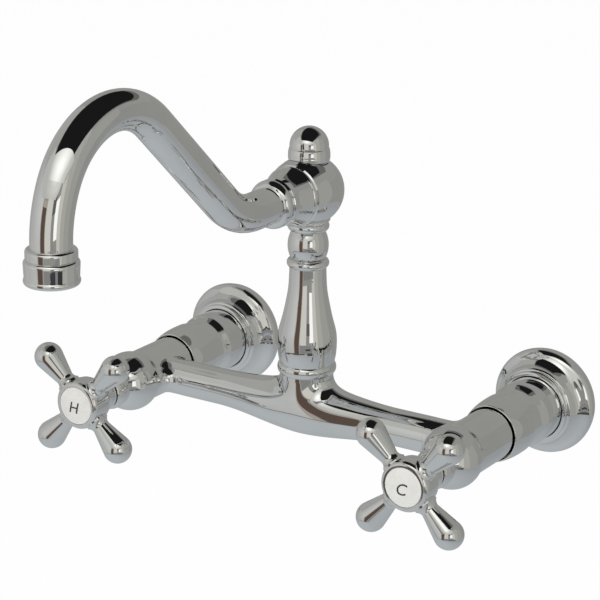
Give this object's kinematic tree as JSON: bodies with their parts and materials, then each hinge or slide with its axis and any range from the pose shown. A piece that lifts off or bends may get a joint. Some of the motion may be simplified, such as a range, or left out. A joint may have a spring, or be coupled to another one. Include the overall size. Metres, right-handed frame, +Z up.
{
  "type": "wall-mounted bridge faucet with swivel spout",
  "caption": "Wall-mounted bridge faucet in polished chrome: cross handles, vase-shaped column and a swivelling high-arc spout.",
  "frame": {"origin": "on the wall plane, midway between the two inlet axes", "axes": "+Y into the wall (the faucet comes out towards -Y), +Z up, +X to the cold side (right, seen from the front)"},
  "size_m": [0.2644, 0.3109, 0.2347],
  "materials": {
    "polished_chrome": "polished chrome plate on brass",
    "porcelain": "glazed warm white",
    "brass": "turned, unplated",
    "rubber": "black, smooth",
    "nylon": "natural moulded",
    "fibre": "red vulcanised fibre",
    "disc_ceramic": "lapped white ceramic",
    "steel": "stainless"
  },
  "bodies": {
    "root": {"bridge_body": "polished_chrome", "column": "polished_chrome", "column_barrel": "polished_chrome", "swivel_post": "brass", "post_o_rings": "rubber", "swivel_washer": "nylon", "crown_washer": "nylon", "finial": "polished_chrome", "hot_flange": "polished_chrome", "hot_flange_o_ring": "rubber", "hot_inlet_shank": "polished_chrome", "hot_union_washer": "fibre", "hot_retaining_ring": "brass", "hot_coupling_nut": "polished_chrome", "hot_bonnet_ring": "polished_chrome", "hot_cartridge_body": "brass", "hot_cartridge_o_ring": "rubber", "hot_seat_seal": "rubber", "hot_fixed_disc": "disc_ceramic", "cold_flange": "polished_chrome", "cold_flange_o_ring": "rubber", "cold_inlet_shank": "polished_chrome", "cold_union_washer": "fibre", "cold_retaining_ring": "brass", "cold_coupling_nut": "polished_chrome", "cold_bonnet_ring": "polished_chrome", "cold_cartridge_body": "brass", "cold_cartridge_o_ring": "rubber", "cold_seat_seal": "rubber", "cold_fixed_disc": "disc_ceramic"},
    "spout": {"spout_hub": "polished_chrome", "spout_collar": "polished_chrome", "spout_tube": "polished_chrome", "outlet_ferrule": "polished_chrome", "aerator_housing": "polished_chrome", "aerator_insert": "nylon", "aerator_washer": "rubber"},
    "hot_handle": {"hot_moving_disc": "disc_ceramic", "hot_stem": "brass", "hot_stem_o_ring": "rubber", "hot_stem_clip": "steel", "hot_handle": "polished_chrome", "hot_index_button": "porcelain", "hot_handle_screw": "steel"},
    "cold_handle": {"cold_moving_disc": "disc_ceramic", "cold_stem": "brass", "cold_stem_o_ring": "rubber", "cold_stem_clip": "steel", "cold_handle": "polished_chrome", "cold_index_button": "porcelain", "cold_handle_screw": "steel"}
  },
  "joints": [
    {"name": "spout_swivel", "type": "hinge", "parent": "root", "child": "spout", "pos_m": [0, -0.0844, 0.1201], "axis": [0, 0, 1], "range_deg": [-105, 105]},
    {"name": "hot_handle_turn", "type": "hinge", "parent": "root", "child": "hot_handle", "pos_m": [-0.1016, -0.148, 0], "axis": [0, -1, 0], "range_deg": [0, 90]},
    {"name": "cold_handle_turn", "type": "hinge", "parent": "root", "child": "cold_handle", "pos_m": [0.1016, -0.148, 0], "axis": [0, 1, 0], "range_deg": [0, 90]}
  ]
}
